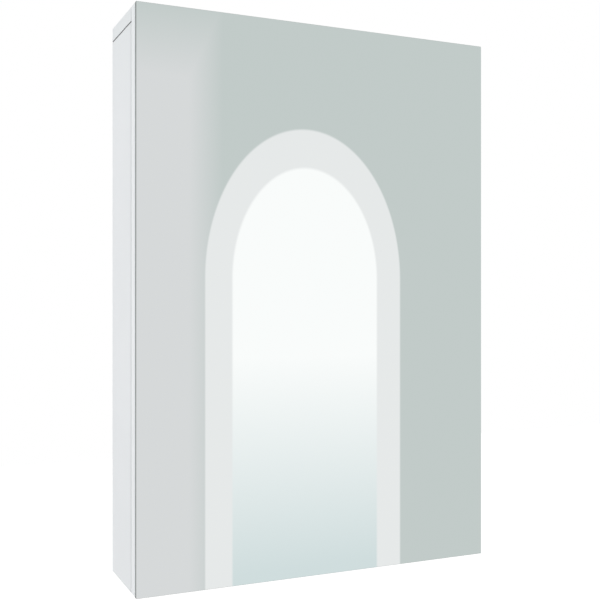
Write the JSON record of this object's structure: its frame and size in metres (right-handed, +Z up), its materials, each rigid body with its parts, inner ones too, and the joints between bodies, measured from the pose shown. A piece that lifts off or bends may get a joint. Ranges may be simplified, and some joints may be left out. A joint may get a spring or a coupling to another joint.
{
  "type": "mirror cabinet",
  "caption": "Wall-hung white bathroom cabinet whose full-size mirror door swings on concealed cup hinges in front of adjustable shelves.",
  "frame": {"origin": "centre of the two wall-screw holes, on the back plane that lies against the wall", "axes": "+Z up, +Y into the wall, so the mirror looks along -Y, and +X to the right seen from the front"},
  "size_m": [0.415, 0.1056, 0.6],
  "materials": {
    "white_board": "white melamine-faced board, satin",
    "hardboard": "white-lacquered hardboard, matt",
    "mirror": "silvered float glass, polished",
    "mounting_tape": "foam tape",
    "white_plastic": "moulded, satin",
    "soft_bumper": "translucent soft button",
    "beech": "fluted beech",
    "zinc": "die-cast zinc",
    "zinc_steel": "zinc-plated steel",
    "nickel_steel": "nickel-plated pressed steel",
    "spring_steel": "oiled spring steel"
  },
  "bodies": {
    "carcass": {"top_panel": "white_board", "left_side": "white_board", "right_side": "white_board", "bottom_panel": "white_board", "hanging_rail": "white_board", "upper_shelf": "white_board", "lower_shelf": "white_board", "back_panel": "hardboard", "cam_covers": "white_plastic", "wood_dowels": "beech", "cam_locks": "zinc", "cam_bolts": "zinc_steel", "hinge_plate_screws": "zinc_steel", "hinge_arm_screws": "zinc_steel", "shelf_pins": "zinc_steel", "upper_hinge_plate": "nickel_steel", "upper_hinge_arm": "nickel_steel", "lower_hinge_plate": "nickel_steel", "lower_hinge_arm": "nickel_steel", "hinge_arm_pins": "nickel_steel", "upper_hinge_spring": "spring_steel", "lower_hinge_spring": "spring_steel"},
    "curved_links": {"upper_hinge_curved_link": "nickel_steel", "lower_hinge_curved_link": "nickel_steel"},
    "inner_links": {"upper_hinge_inner_link": "nickel_steel", "lower_hinge_inner_link": "nickel_steel", "hinge_slot_pins": "nickel_steel"},
    "door": {"door_panel": "white_board", "mirror_tape": "mounting_tape", "mirror_glass": "mirror", "door_bumpers": "soft_bumper", "upper_hinge_cup": "nickel_steel", "lower_hinge_cup": "nickel_steel", "hinge_cup_screws": "zinc_steel", "hinge_rim_pins": "nickel_steel"}
  },
  "joints": [
    {"name": "curved_link_swing", "type": "hinge", "parent": "carcass", "child": "curved_links", "pos_m": [0.1757, -0.0786, -0.25], "axis": [0, 0, 1], "range_deg": [-36.1, 0]},
    {"name": "door_swing", "type": "hinge", "parent": "curved_links", "child": "door", "pos_m": [0.1968, -0.08915, -0.25], "axis": [0, 0, 1], "range_deg": [0, 131.1]},
    {"name": "inner_link_swing", "type": "hinge", "parent": "carcass", "child": "inner_links", "pos_m": [0.176, -0.0945, -0.25], "axis": [0, 0, 1], "range_deg": [-40.38, 0]}
  ],
  "couplings": [
    {"joint": "curved_link_swing", "follows": "door_swing", "ratio": -0.27536},
    {"joint": "inner_link_swing", "follows": "door_swing", "ratio": -0.30797}
  ]
}
